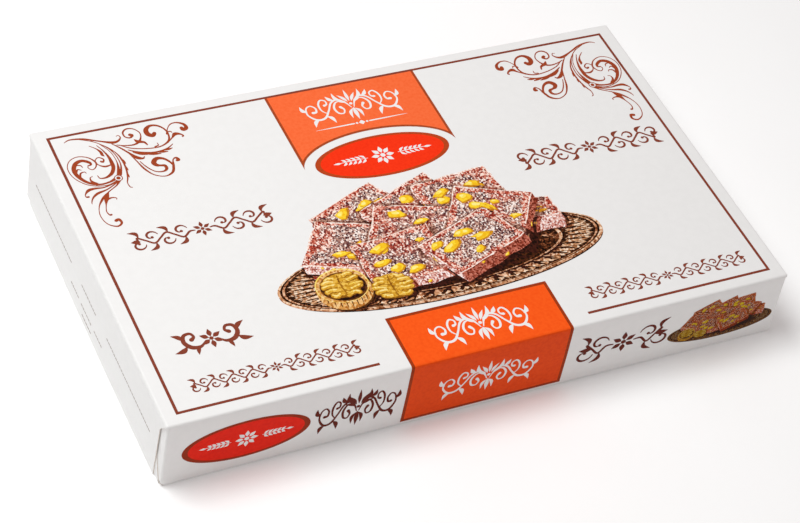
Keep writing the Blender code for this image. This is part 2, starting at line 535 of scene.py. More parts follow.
SPRAY = [
    [(7, 51.2, .25), (9.5, 52.2, .6), (14.5, 51.3, .9), (20, 48.6, .7), (24.2, 46.7, 1.3),
     (26.6, 46.8, 1), (28.2, 48.4, .5), (27.8, 49.7, .35), (26.9, 49.5, .3)],
    [(13, 51.4, .3), (18.5, 48.2, .35), (22.6, 42.5, .4), (23.6, 35.5, .45), (22, 30, .9),
     (20.5, 27.5, .3)],
    [(17, 49.6, .3), (21.5, 45, .35), (24, 40.5, .5), (24.8, 36.5, .8), (24.8, 33.2, .7),
     (24.4, 30, .7), (23.6, 27, .6), (22.7, 24.6, .4), (22.9, 22.4, .4), (23.7, 21.8, .3)],
    [(24.8, 37.2, .6), (25.2, 35.8, .8), (25.5, 34.5, .3)],
    [(24.8, 33.2, .6), (25, 32, .7), (25.2, 30.9, .3)],
    [(24.3, 29.7, .5), (24.3, 28.5, .7), (24.4, 27.2, .3)],
    [(19.5, 47, .3), (22, 42, .3), (22.6, 36.5, .4), (21.6, 31.5, 1.2), (19.6, 27.6, .6)],
    [(15.4, 47.1, .3), (17.5, 44.9, .5), (18.5, 42.9, 1.1), (18.6, 41.3, 1.1), (19.1, 40.5, .4)],
    [(18.2, 46.6, .3), (19.6, 43.4, .5), (20.5, 39.6, 1), (20.6, 36.3, 1.5), (20.3, 33.6, 1.5),
     (18.7, 30.9, 1.4), (16.1, 29.4, .9), (13.8, 29.6, .5), (13.3, 31.2, .3)],
    [(20.6, 35.6, .4), (17.8, 35, .9), (15.6, 36.4, .45), (15, 38.9, .4), (16.6, 40.3, .45),
     (18.2, 39, .6), (17.7, 37.6, .8), (17, 38, .9)],
    [(19.6, 26.6, .5), (14.5, 25.4, .4), (8.5, 27.4, .4), (4.6, 32.2, .35), (3.8, 37.4, .35),
     (5.6, 41.2, .35), (9.2, 42.7, .4), (12.9, 41.3, .5), (14.9, 38.2, .7), (14.2, 35.8, .5),
     (12.6, 34.7, .4), (11.3, 36, .35), (11.8, 37.4, .4)],
    [(19.8, 28.2, 1.6), (16.5, 26.8, .9), (12.4, 26.6, .9), (8.7, 28.7, 1.2), (6.3, 32.5, 1.5),
     (5.8, 36.2, 1.7), (7.4, 39.3, 1.7), (10.1, 40.3, 1.4), (12.4, 38.9, 1.3), (12.9, 37.6, .9),
     (12.1, 37.1, .5)],
    [(11.6, 27, 1.5), (10.2, 29, .9), (10.3, 30.8, .4), (11.3, 31.3, .3)],
    [(6.9, 31.8, .8), (7.6, 33.9, .7), (9.2, 34.4, .4), (9.7, 33.6, .3)],
    [(6.2, 34.6, .8), (7.2, 36.2, .6), (8.4, 35.6, .3)],
    [(6, 36.8, .8), (7.2, 38.3, .6), (8.9, 38, .5), (9.4, 36.8, .3)],
    [(25.6, 44.9, .4), (28, 43.9, .5), (31.5, 43.3, .7), (34, 44.2, 1), (35.6, 46.3, .6),
     (36.1, 49, .45), (34.5, 51.6, .5), (31.9, 52.3, .7), (30, 50.8, .7), (30, 48.4, .6),
     (31.6, 47.3, .7), (32.9, 48.3, 1.2), (32.2, 48.9, 1.4)],
    [(32.9, 46, .4), (33.8, 44.6, 1.5), (36, 43.6, 1), (36.7, 42, .6)],
    [(26.5, 44.6, .4), (30, 41.9, .5), (35.5, 40.1, .5), (41, 39.7, .6), (45, 41.7, .8),
     (46.3, 45, .7), (45.9, 48.3, .7), (43.9, 50.9, .9), (41.1, 51.6, 1.2), (39, 50, 1.9),
     (38.8, 47.6, 2.1), (40.3, 46.2, 1.8), (41.4, 47.2, 1.6)],
    [(45.9, 45.6, .8), (47, 48.2, .4), (49, 50.4, .5), (51.6, 50.6, .7), (53.9, 49, 1.2),
     (54.2, 46.9, 1.6), (52.8, 46.3, 1.8), (52.4, 47.3, 1.5)],
    [(44.5, 40.9, .4), (47.2, 43.2, .7), (48.7, 44.7, 1.7), (50.4, 44.4, 1), (51.6, 43.2, .6),
     (51.2, 42.7, .7)],
    [(46.5, 46.6, .6), (47.6, 46.6, .5), (48, 45.8, .3)],
    [(28.8, 41.2, .4), (31.5, 39.3, .9), (34.5, 38, 1), (37.6, 37.3, .9), (40.9, 37.4, .8),
     (43.8, 38.3, .6), (46.1, 39.8, .3)],
    [(30.4, 39.5, .8), (32.6, 38, 1.2), (34.9, 36.9, .4)],
    [(35, 37.4, 1), (37.4, 36.6, 1.3), (40, 36, .4)],
    [(39.7, 36.9, .8), (41.3, 36.7, 1), (42.9, 36.4, .35)],
    [(42.2, 37.5, .7), (43.8, 37.5, .9), (45.2, 37.8, .3)],
    [(39.2, 40.2, .6), (40.6, 40.6, .5), (40.6, 41.9, .25)],
    [(24, 46, .4), (26.6, 42.6, .7), (29, 38.8, .9), (30.6, 36.4, 1.6), (32.6, 35.4, .9),
     (33.5, 36.2, .35)],
    [(28.6, 39, .5), (29.9, 34.5, .5), (31.2, 30, .8), (33.6, 26, .5), (37.4, 24.1, .5),
     (40.8, 25.4, 1), (42.3, 28.6, 1), (43.2, 31.6, .5), (44.6, 32.4, .9), (45.2, 31.2, 1.4),
     (44.6, 30.9, 1.2)],
    [(31, 34, .35), (32.4, 30.6, .5), (34.6, 27.6, .5), (37.4, 26.7, .7), (39.2, 27.6, 1.2),
     (39.2, 29.4, 1.3), (37.6, 30, 1), (36.3, 30.6, 1.6), (35.7, 32.2, 2), (37.4, 33.9, 1.7),
     (39.9, 33.2, 1.1), (41.7, 30.8, .9), (42.3, 28.4, .5)],
    [(19.2, 26.4, 1), (14, 24.7, .6), (10.2, 25, 1), (7.6, 24.7, 1.3), (5.7, 22.8, .4),
     (5.8, 21.6, .6), (6.5, 21.5, .9)],
    [(19, 25.8, .5), (14.5, 23.4, .6), (10.4, 22.3, 1.1), (8, 20.6, .7), (6.8, 18.6, .4),
     (6.6, 17.6, .2)],
    [(20.5, 27.2, 1.6), (18.6, 24.6, .6), (14.5, 22, .5), (11.4, 19.4, 1), (8.6, 15.6, .4),
     (7.5, 11, .35), (8.6, 6.5, .4), (11.6, 4.3, .7), (13.7, 5.4, .9), (13.4, 7.4, 1.2),
     (12.2, 7.2, 1.4)],
    [(14.2, 21.6, .5), (12.6, 19, 1.8), (11.4, 16, .5), (10.4, 12.6, .4), (10.9, 10.6, .6),
     (11.5, 10.5, .9)],
    [(12.4, 18.4, 1.2), (14.6, 18.8, .6), (16.1, 18.2, .4), (16, 17.5, .3)],
]
EYE_PLACE = (20.3, 27.9)  # the bead in a bare ring where the scrolls meet
EYE_RADII = (1.65, 1.3, 0.8)
LEFT_SPRAY = TOP_PLACE @ at(4.0, 90.0)
MIRROR = Matrix.Diagonal((-1, 1, 1, 1))
RIGHT_SPRAY = MIRROR @ TOP_PLACE @ at(3.6, 89.2)

rust_ink = offset_ink("rust_offset_ink", "#A24626", "#963E21")

art = bmesh.new()
for points in SPRAY:
    stroke(art, DRAWN, points)
for plate, radius in zip((DRAWN, CLEARED, DRAWN), EYE_RADII):
    disc(art, plate, EYE_PLACE, (radius, radius))
plates = separate(art, 2)
for side, place in (("left", LEFT_SPRAY), ("right", RIGHT_SPRAY)):
    press("flourish_" + side, plates, [("scrolls", rust_ink), BARE], place)

# The banner. An orange panel hangs from the back rule of the frame, arched at its foot over the
# red oval badge. Both have a darker keyline, and white ornament is left bare in them.
BANNER = (93.3, 157.5)  # left and right edge
BANNER_HEAD = WIDTH - FRAME_INSETS[3] - RULE
ARCH_MIDDLE, ARCH_RADII, ARCH_STEPS = (125.45, 101.7), (32.2, 14.8), 48
KEYLINE = 1.05
BANNER_CREST, BANNER_CREST_PLACE = (19.5, 19.0, .9), (125.4, 131.5)  # half length, height, pen
DIVIDER, DIVIDER_PLACE = (19.5, .7), (125.4, 121.6)
BADGE_RADII, BADGE_PLACE = (28.0, 11.0), (125.7, 102.2)
BADGE_RIM = (2.2, 1.1)
EDGE, FILL, WHITE = range(3)  # the plates of a block: its keyline, its colour, and bare board in it

banner_ink = offset_ink("banner_orange_ink", "#F86F3D", "#F46633")
keyline_ink = offset_ink("keyline_brown_ink", "#A84A24", "#9C421F")
red_ink = offset_ink("badge_red_ink", "#F83612", "#F0300E")
rim_ink = offset_ink("badge_rim_ink", "#B8461C", "#AC3F18")


def arched(inset):
    """The banner's outline, drawn in from its edge by an inset at the sides and the arch."""
    left, right = BANNER[0] + inset, BANNER[1] - inset
    wide, tall = ARCH_RADII[0] + inset, ARCH_RADII[1] + inset
    middle = ARCH_MIDDLE[0]
    reach = math.acos((right - middle) / wide)
    sweep = math.pi - math.acos((middle - left) / wide)
    angles = [sweep + (reach - sweep) * k / ARCH_STEPS for k in range(ARCH_STEPS + 1)]
    foot = [(middle + wide * math.cos(a), ARCH_MIDDLE[1] + tall * math.sin(a)) for a in angles]
    return [(left, BANNER_HEAD), *foot, (right, BANNER_HEAD)]


def spiral(centre, radius, start, sweep, pen, turns_in=0.75):
    """Points of a stroke that winds inwards, thin at its start and with a ball at its end."""
    points = []
    steps = max(6, round(abs(sweep) * 3))
    for k in range(steps + 1):
        along = k / steps
        away = radius * (1 - turns_in * along)
        width = pen * (0.35 + 0.65 * math.sin(math.pi * min(along * 1.1, 1)))
        points.append((centre[0] + away * math.cos(start + sweep * along),
                       centre[1] + away * math.sin(start + sweep * along), width))
    points[-1] = (*points[-1][:2], pen * 1.3)
    return points


def leaf(art, ink, root, tip, width, bend=0.0):
    """A pointed leaf from its root to its tip."""
    root, tip = Vector(root), Vector(tip)
    across = Vector((root.y - tip.y, tip.x - root.x)) * bend
    belly = root.lerp(tip, 0.42) + across
    stroke(art, ink, [(*root, width * 0.15), (*belly, width), (*tip, 0.12)])


def both_sides(art, draw, *details):
    """Draws something at the right and its mirror image at the left."""
    draw(art, *details)
    stamp(art, MIRROR, draw, *details)


def scaled(points, across, up, pen):
    """Points of a stroke drawn on a unit square, at their real size."""
    return [(x * across, y * up, width * pen) for x, y, width in points]


def scroll_arm(art, ink, reach, height, pen):
    """Half of a scroll ornament: a long S that ends in a curl, with two more curls and leaves."""
    stem = [(.03, -.04, .4), (.1, .12, .8), (.23, .25, 1), (.39, .19, .9), (.52, -.02, .8),
            (.67, -.21, 1.1), (.85, -.22, 1.1), (.98, -.04, .8), (.95, .15, .7), (.84, .21, .7),
            (.76, .12, .8), (.78, .01, 1), (.85, .0, 1.5)]
    stroke(art, ink, scaled(stem, reach, height, pen))
    curl = [(.16, .2, .4), (.3, .17, .8), (.385, .02, 1), (.35, -.14, .9), (.25, -.17, .7),
            (.2, -.07, .8), (.25, .02, 1.4)]
    stroke(art, ink, scaled(curl, reach, height, pen))
    tendril = [(.57, -.1, .4), (.66, .02, .7), (.66, .2, .9), (.58, .32, .8), (.49, .28, .7),
               (.49, .18, .8), (.55, .15, 1.3)]
    stroke(art, ink, scaled(tendril, reach, height, pen))
    for root, tip, bend in (((.15, .2), (.28, .46), -.2), ((.31, .25), (.44, .4), -.15),
                            ((.62, -.17), (.5, -.4), -.15), ((.8, -.23), (.95, -.42), .2),
                            ((.96, .05), (1.06, .24), -.2)):
        leaf(art, ink, (root[0] * reach, root[1] * height), (tip[0] * reach, tip[1] * height),
             pen * 1.8, bend)


def palmette(art, ink, height, pen):
    """An upright fan of five leaves over a bead."""
    for k in (-2, -1, 0, 1, 2):
        angle = RIGHT_ANGLE - k * 0.56
        long = height * (1 - 0.16 * abs(k))
        aim = Vector((math.cos(angle), math.sin(angle)))
        leaf(art, ink, aim * height * 0.2, aim * long, pen, 0.05 * k)
    disc(art, ink, (0, 0), (pen * .5, pen * .5), sides=16)


def divider(art, ink, reach, pen):
    """A rule that thins towards its ends, with a lozenge in its middle and beads."""
    for side in (-1, 1):
        stroke(art, ink, [(side * reach * .17, 0, pen), (side * reach * .6, 0, pen * .8),
                          (side * reach, 0, .15)])
        disc(art, ink, (side * reach * .11, 0), (pen * .75, pen * .75), sides=14)
    wide = reach * .07
    shape(art, ink, [(wide, 0), (0, pen * 1.8), (-wide, 0), (0, -pen * 1.8)])


def crest(art, ink, reach, height, pen):
    """A palmette between two scroll arms, with a drop below it."""
    both_sides(art, scroll_arm, ink, reach, height, pen)
    stamp(art, at(0, height * .07), palmette, ink, height * .43, pen * 1.5)
    leaf(art, ink, (0, -height * .06), (0, -height * .42), pen * 1.9)
    for side in (-1, 1):
        leaf(art, ink, (side * reach * .02, -height * .08), (side * reach * .12, -height * .36),
             pen * 1.5, side * .15)


def petal_ring(art, ink, count, inner, outer, width):
    """Petals set round a centre."""
    for k in range(count):
        angle = RIGHT_ANGLE + 2 * math.pi * k / count
        aim = Vector((math.cos(angle), math.sin(angle)))
        leaf(art, ink, aim * inner, aim * outer, width)


def sprig(art, ink, reach, pen, leaves):
    """A stem to the right with pairs of leaves along it, and a bud at its end."""
    stroke(art, ink, [(0, 0, pen * .5), (reach * .5, reach * .02, pen), (reach, 0, pen * .4)])
    for k in range(leaves):
        root = reach * (.08 + .8 * k / leaves)
        long = reach * .23 * (1 - .3 * k / leaves)
        for side in (-1, 1):
            leaf(art, ink, (root, 0), (root + long * .72, side * long * .72), pen * 2.1, side * .14)
    leaf(art, ink, (reach * .88, 0), (reach * 1.14, 0), pen * 2.2)


def rosette_band(art, ink, reach, height, pen, leaves):
    """A rosette with a leafy sprig on either side."""
    petal_ring(art, ink, 8, height * .16, height * .5, height * .2)
    disc(art, ink, (0, 0), (height * .11, height * .11), sides=20)
    both_sides(art, stamp, at(height * .68, 0), sprig, ink, reach - height * .75, pen, leaves)


def badge(art, radii):
    """The oval badge with its rim, and a white rosette band on it."""
    disc(art, EDGE, (0, 0), radii, sides=96)
    disc(art, FILL, (0, 0), (radii[0] - BADGE_RIM[0], radii[1] - BADGE_RIM[1]), sides=96)
    rosette_band(art, WHITE, radii[0] * .7, radii[1] * .86, .5, 5)


art = bmesh.new()
shape(art, EDGE, arched(0))
shape(art, FILL, arched(KEYLINE))
stamp(art, at(*BANNER_CREST_PLACE), crest, WHITE, *BANNER_CREST)
stamp(art, at(*DIVIDER_PLACE), divider, WHITE, *DIVIDER)
banner_inks = [("keyline", keyline_ink), ("field", banner_ink), BARE]
print_once("banner", art, banner_inks, TOP_PLACE)

art = bmesh.new()
badge(art, BADGE_RADII)
badge_inks = [("rim", rim_ink), ("field", red_ink), BARE]
print_once("badge_top", art, badge_inks, TOP_PLACE @ at(*BADGE_PLACE))

# The orange field. One block of a deeper orange, in a dark keyline, lies across the front crease
# from the top panel down the whole front, and carries a white crest on either panel. Like all of
# the side panels' print, its part on the front is a darker copy of the top's ink: painted shade.
FIELD = (91.8, 157.1)
FIELD_HEAD = 24.0  # from the front edge of the top panel
FIELD_FOOT = 1.6  # from the ground
FIELD_KEY = 1.25
FIELD_CREST = (18.5, 17.5, .95)  # half length, height, pen
TOP_CREST_PLACE, FRONT_CREST_PLACE = (124.6, 11.2), (124.8, 16.0)
# the darker orange beyond the crease is painted shade
SHADED_FILL = 3  # the plate of the field's colour beyond the crease

field_ink = offset_ink("field_orange_ink", "#FB5D1A", "#F65414")
# a darker copy of the field's orange for the side panels: painted shade
shade_darkened_field_ink = offset_ink("orange_ink_darkened_as_shade", "#EE4E12", "#E6460E")
field_key_ink = offset_ink("field_keyline_ink", "#A23C14", "#963410")


def on_front(x, z):
    """The place on the blank of a point of the front panel, from its left edge and the ground."""
    return at(LEFT + x, -SIDE_EDGE - (HEIGHT - FOLD - z))


def orange_block(art, head, foot):
    """The field inside its keyline, between two heights on the blank, darker beyond the crease as
    painted shade.
    """
    left, right = LEFT + FIELD[0], LEFT + FIELD[1]
    bar(art, EDGE, left, foot, right, head)
    left, right = left + FIELD_KEY, right - FIELD_KEY
    foot, head = foot + FIELD_KEY, head - FIELD_KEY
    bar(art, FILL, left, foot, right, head)
    # the part beyond the crease takes the darker orange: painted shade
    bar(art, SHADED_FILL, left, foot, right, min(head, -TOP_EDGE - ARC / 2))


field_inks = [
    ("keyline", field_key_ink),
    ("orange", field_ink),
    BARE,
    ("orange_darkened_as_shade", shade_darkened_field_ink),
]
front_foot = on_front(0, FIELD_FOOT).translation.y
art = bmesh.new()
orange_block(art, FRONT + FIELD_HEAD, front_foot)
stamp(art, TOP_PLACE @ at(*TOP_CREST_PLACE), crest, WHITE, *FIELD_CREST)
stamp(art, on_front(*FRONT_CREST_PLACE), crest, WHITE, *FIELD_CREST)
print_once("field", art, field_inks, Matrix.Identity(4))

# The picture. A generic drawing of sugared slabs of a rose-brown sweet, leaning in rows on a round
# engraved copper tray with walnuts, stands in the middle of the top and, small, at the end of
# either side panel. It is drawn as blocks in space seen from a little above, in grained inks.
PICTURE_PLACE = (125.3, 44.9)
SMALL_PICTURE = (224.3, 12.0)
SMALL_SCALE = 0.35
# the small prints on the side panels are darkened and made richer: painted shade
SMALL_SHADED_TONES = {  # the small prints' richness and depth, for a few kinds of ink and for the others
    "tray": (1.5, 0.35),
    "shell": (1.3, 0.6),
    "walnut": (1.1, 0.55),
    "nut": (1.2, 0.62),
}
SMALL_SHADED_TONE = (2.3, 0.64)
TRAY = 66.3  # radius
DROP = math.radians(15.3)  # how far the picture looks down
FLATTEN = Matrix.Diagonal((1, math.sin(DROP), 1, 1))
EYE = Vector((0, -math.cos(DROP), math.sin(DROP)))
BLUSH = ("#7A1A10", "#BA4833", "#E08A72", "#FCE0D2")  # the faces' red patches and their rims
BLUSH_PATCH = 9.0  # size of a patch
GRAIN_STOPS = (0.26, 0.76)

# Each ink, the deeper ink that a shade turns it into, its grain in millimetres, and its tints
PICTURE_INKS = (
    ("crevice", "crevice", 0.8, ("#1C0A05", "#441C12")),
    ("tray_black", "crevice", 0.8, ("#140602", "#50280F")),
    ("tray_dark", "tray_black", 0.8, ("#1C0A03", "#643016", "#8E5434")),
    ("tray_copper", "tray_dark", 0.8, ("#723A1C", "#BC7C52", "#EABC9A")),
    ("tray_gold", "tray_copper", 0.8, ("#AC6E44", "#DEAA80", "#F8DEC4")),
    ("side_dark", "crevice", 0.6, ("#64200F", "#A04632", "#CC7A66")),
    ("side_red", "side_dark", 0.6, ("#961E10", "#C03E28", "#DA6C54", "#FCD0C0")),
    ("side_rose", "side_dark", 0.6, ("#94463C", "#CC8678", "#ECBCB0", "#FEF0EC")),
    ("face_dark", "crevice", 0.6, ("#401C16", "#744638", "#A0745F")),
    ("face_deep", "face_dark", 0.6, ("#5E302C", "#9C6C5C", "#C89C88")),
    ("face_rim", "face_deep", 0.6, BLUSH),
    ("face", "face_deep", 0.6, ("#4A262C", "#96655C", "#CCA08E", "#FFF2EA")),
    ("sugar", "face", 0.6, ("#E4B4A0", "#F6DED2", "#FDF5F0")),
    ("nut_deep", "face_dark", 1.2, ("#B8721A", "#D8961E")),
    ("nut_yellow", "nut_deep", 1.2, ("#F2BA1C", "#FAD634")),
    ("nut_pale", "nut_yellow", 1.2, ("#FBE258", "#FDEE90")),
    ("shell_dark", "crevice", 1.2, ("#3A1A06", "#6E3E16")),
    ("shell", "shell_dark", 0.8, ("#B06A26", "#DA9C50", "#F0C68A")),
    ("walnut_groove", "crevice", 0.8, ("#84500C", "#B0761C")),
    ("walnut", "walnut_groove", 0.8, ("#C48A1C", "#DEA834", "#EEC258")),
    ("walnut_light", "walnut", 0.8, ("#F2CC54", "#FBE8A0")),
)
NAMES = [row[0] for row in PICTURE_INKS]
INK = {name: k for k, name in enumerate(NAMES)}
DEEPER = [INK[row[1]] for row in PICTURE_INKS]


def grained_ink(name, size, colours, scale, richness, depth):
    """A screened area of the picture: grains of a few tints, and red patches in the faces."""
    material, tree, shader, place = start_material(name, **INK_GLOSS)
    grains = add_node(tree, "ShaderNodeTexVoronoi",
                      {"Vector": place, "Scale": 1 / (size * scale * MM)})
    amount = grains.outputs["Color"]
    tone = ramp_of(tree, amount, colours, GRAIN_STOPS)
    if name.startswith("face"):
        patches = add_node(tree, "ShaderNodeTexNoise",
                           {"Vector": place, "Scale": 1 / (BLUSH_PATCH * scale * MM)})
        share = add_node(tree, "ShaderNodeMapRange", {
            "Value": patches.outputs["Fac"], "From Min": 0.5, "From Max": 0.64, "To Max": 0.8})
        blush = ramp_of(tree, amount, BLUSH, GRAIN_STOPS)
        mixed = add_node(tree, "ShaderNodeMix", {
            "Factor": share.outputs["Result"], "A": tone, "B": blush}, data_type="RGBA")
        tone = mixed.outputs["Result"]
    # a depth below 1 darkens the small prints as painted shade
    deepened = add_node(tree, "ShaderNodeHueSaturation", {
        "Saturation": richness, "Value": depth, "Color": tone})
    tree.links.new(deepened.outputs["Color"], shader.inputs["Base Color"])
    return material


def picture_inks(size_name, scale, tones, others):
    """All the picture's inks at one scale, each kind with its richness and its depth. A small print
    has finer grains, and is darker and richer: painted shade for the side panels."""
    inks = []
    for name, _, size, tints in PICTURE_INKS:
        richness, depth = tones.get(name.split("_")[0], others)
        ink = grained_ink(name + "_ink_" + size_name, size, tints, scale, richness, depth)
        inks.append((name + "_ink", ink))
    return inks


def seen(point):
    """Where the picture shows a point in space."""
    return Vector((point.x, point.y * math.sin(DROP) + point.z * math.cos(DROP)))


def leaf_ring(art, ink, inner, outer, count, width):
    """A ring of engraved leaves round the tray, with a bead between each two."""
    for k in range(count):
        angle = 2 * math.pi * k / count
        aim = Vector((math.cos(angle), math.sin(angle)))
        side = Vector((-aim.y, aim.x)) * width * .55
        middle = (inner + outer) / 2
        leaf(art, ink, aim * inner, aim * outer + side * .2, width, .12)
        leaf(art, ink, aim * middle + side, aim * (outer + .5) + side * 2.1, width * .55, -.2)
        leaf(art, ink, aim * middle - side, aim * (outer + .5) - side * 2.1, width * .55, .2)
        turned = 2 * math.pi * (k + .5) / count
        disc(art, ink, (inner * 1.03 * math.cos(turned), inner * 1.03 * math.sin(turned)),
             (width * .26, width * .26), sides=10)


def tray_top(art):
    """The tray's face in plan: its lip, two rings of leaves and a plain middle."""
    for inset, ink in ((0, "tray_gold"), (1.0, "tray_black"), (1.9, "tray_copper"),
                       (2.8, "tray_black")):
        disc(art, INK[ink], (0, 0), (TRAY - inset, TRAY - inset), sides=144)
    leaf_ring(art, INK["tray_gold"], TRAY * .77, TRAY * .935, 50, 3.7)
    for radius, ink in ((TRAY * .745, "tray_gold"), (TRAY * .725, "tray_dark")):
        disc(art, INK[ink], (0, 0), (radius, radius), sides=120)
    leaf_ring(art, INK["tray_copper"], TRAY * .53, TRAY * .7, 36, 3.4)
    disc(art, INK["tray_copper"], (0, 0), (TRAY * .5, TRAY * .5), sides=96)


def ragged(points, size=.8, steps=6, grain=.35):
    """A closed outline in space with its sides split and shaken a little."""
    outline = []
    for k, here in enumerate(points):
        there = points[(k + 1) % len(points)]
        for step in range(steps):
            spot = here.lerp(there, step / steps)
            outline.append(spot + noise.noise_vector(spot * grain) * size)
    return outline


EDGE_ON = .02  # a face that turns no more than this to the eye isn't seen


def block_faces(place, half):
    """The faces of a block that the picture shows: the axis, outward direction and corners."""
    faces = []
    for axis in range(3):
        for side in (-1, 1):
            outward = place.to_3x3() @ Vector([side * (k == axis) for k in range(3)])
            if outward.dot(EYE) > EDGE_ON:
                corners = []
                for signs in ((-1, -1), (1, -1), (1, 1), (-1, 1)):
                    spot = list(signs)
                    spot.insert(axis, side)
                    corners.append(place @ Vector([a * b for a, b in zip(spot, half)]))
                faces.append((axis, outward, corners))
    return faces


SWEET = (34.0, 29.0, 7.5)  # length, width and thickness of a slab
SWEET_SHADES = ((1.12, Vector((.9, -.5))), (1.05, Vector((.4, -.3))))  # spread and shift
FACE_NUTS, SIDE_NUTS = (6, 1.6, 3.8), (2, .8, 1.6)  # how many, and from and to which size
TURNED_AWAY = .3  # a side that faces right by more than this is in the dark


def sweet(art, chance, centre, pitch, turn, red):
    """One slab: its shade on what lies below, its cut sides, its sugared face, and nuts in both."""
    place = (Matrix.Translation(centre) @ Matrix.Rotation(pitch, 4, "X")
             @ Matrix.Rotation(chance.uniform(-.14, .14), 4, "Y") @ Matrix.Rotation(turn, 4, "Z"))
    half = [side * chance.uniform(.46, .53) for side in SWEET]
    faces = block_faces(place, half)
    heart = seen(Vector(centre))
    for spread, cast in SWEET_SHADES:
        for _, _, corners in faces:
            shade = [heart + (seen(spot) - heart) * spread + cast for spot in ragged(corners)]
            shape(art, SHADE, shade)
    for axis, outward, corners in faces:
        if axis == 2:
            ink = "face_rim"
        elif outward.x > TURNED_AWAY:
            ink = "side_dark"
        else:
            ink = "side_red" if red else "side_rose"
        shape(art, INK[ink], [seen(spot) for spot in ragged(corners)])
    for axis, outward, corners in faces:
        if axis == 2:
            middle = sum(corners, Vector()) / 4
            sugared = ragged([middle.lerp(spot, .84) for spot in corners], 1.7, 16, .9)
            shape(art, INK["face"], [seen(spot) for spot in sugared])
            crust(art, chance, ragged(corners))
        count, smallest, largest = FACE_NUTS if axis == 2 else SIDE_NUTS
        for _ in range(count):
            nut(art, chance, corners, chance.uniform(smallest, largest))


def crust(art, chance, rim):
    """Loose sugar along the edge of a slab's face, in short strokes with gaps."""
    k = 0
    while k < len(rim) - 2:
        run = rim[k:k + chance.randint(2, 4)]
        stroke(art, INK["sugar"], [(*seen(spot), chance.uniform(.2, .75)) for spot in run], steps=2)
        k += len(run) - chance.randint(0, 1)


def nut(art, chance, corners, size):
    """A piece of nut in a face of a slab: a deep rim, a yellow face and a pale glint."""
    u, v = chance.uniform(.14, .86), chance.uniform(.16, .84)
    middle = corners[0].lerp(corners[1], u).lerp(corners[3].lerp(corners[2], u), v)
    across = (corners[1] - corners[0]).normalized()
    up = (corners[3] - corners[0]).normalized()
    long, turn = chance.uniform(1.0, 1.9), chance.uniform(-.5, .5)
    for ink, scale, shift in (("nut_deep", 1.0, (.1, -.15)), ("nut_yellow", .86, (0, 0)),
                              ("nut_pale", .4, (-.15, .15))):
        points = []
        for k in range(9):
            angle = 2 * math.pi * k / 9
            away = size * scale * (.8 + .5 * noise.noise((middle.x + k * 1.3, middle.z, size)))
            flat = Matrix.Rotation(turn, 2) @ Vector((away * long * math.cos(angle),
                                                      away * math.sin(angle)))
            spot = middle + across * (flat.x + shift[0] * size) + up * (flat.y + shift[1] * size)
            points.append(seen(spot))
        shape(art, INK[ink], points)


def kernel(art, chance, centre, size):
    """A walnut half: curled ridges on both sides of a groove, with light along their tops."""
    centre = Vector(centre)
    disc(art, SHADE, centre + Vector((1.0, -1.2)), (size * 1.06, size * .86), sides=28)
    disc(art, INK["walnut_groove"], centre, (size * .96, size * .78), sides=28)
    disc(art, INK["walnut"], centre + Vector((-.1, .3)), (size * .9, size * .72), sides=28)
    for side in (-1, 1):
        for k in range(5):
            high = .56 - .28 * k
            wide = .92 * math.sqrt(1 - (high / .8) ** 2)
            ridge = [(side * wide * along, high + chance.uniform(-.11, .11))
                     for along in (.12, .42, .72, 1)]
            for ink, width, lift, first in (("walnut_groove", .3, 0, 0), ("walnut", .23, .02, 0),
                                            ("walnut_light", .08, .06, 1)):
                stroke(art, INK[ink], [(*(centre + Vector((x, y + lift)) * size), width * size)
                                       for x, y in ridge[first:]], steps=4)
    stroke(art, INK["walnut_groove"], [
        (centre.x, centre.y + size * .7, .3), (centre.x - size * .06, centre.y + size * .1, .6),
        (centre.x + size * .03, centre.y - size * .66, .3)], steps=5)


def shell_half(art, chance, centre, size):
    """A walnut half in its shell: the ridged outside, the dark rim's inside, and the kernel."""
    centre = Vector(centre)

    def round_part(ink, shift, wide, tall):
        disc(art, ink, centre + Vector(shift), (size * wide, size * tall), sides=32)

    for cast in (1.8, .8):
        round_part(SHADE, (cast, -size * .15 - cast), 1.06, .92)
    round_part(INK["shell_dark"], (.3, -size * .19), 1.05, .92)
    round_part(INK["shell"], (0, -size * .15), 1.04, .9)
    for k in range(9):
        x = centre.x + size * (-.8 + .2 * k)
        drop = size * .88 * math.sqrt(max(0, 1 - ((x - centre.x) / size) ** 2))
        furrow = [(x, centre.y - drop * .5, .2), (x + .4, centre.y - drop * .8, .45),
                  (x + .2, centre.y - drop * 1.08, .2)]
        stroke(art, INK["shell_dark"], furrow, steps=4)
    round_part(INK["walnut_light"], (0, size * .1), 1, .8)
    round_part(INK["shell"], (0, size * .08), .96, .76)
    round_part(INK["shell_dark"], (0, size * .06), .84, .66)
    kernel(art, chance, centre + Vector((0, size * .1)), size * .74)


# The pile from the back to the front: each row's height in the picture, its lean, and its places
ROWS = (
    (11.0, .12, (-30.0, 36.0)),
    (25.0, .78, (-19.0, 2.0, 21.0)),
    (14.0, .66, (-32.0, -3.0, 26.0)),
    (3.0, .5, (-15.0, 14.0)),
)
RED_SHARE = .4  # of the slabs, those with red sides
SHELL, KERNEL = ((-42.0, -2.5), 10.3), ((-24.0, -7.0), 7.8)  # middle and half width
PILE_SEED = 12


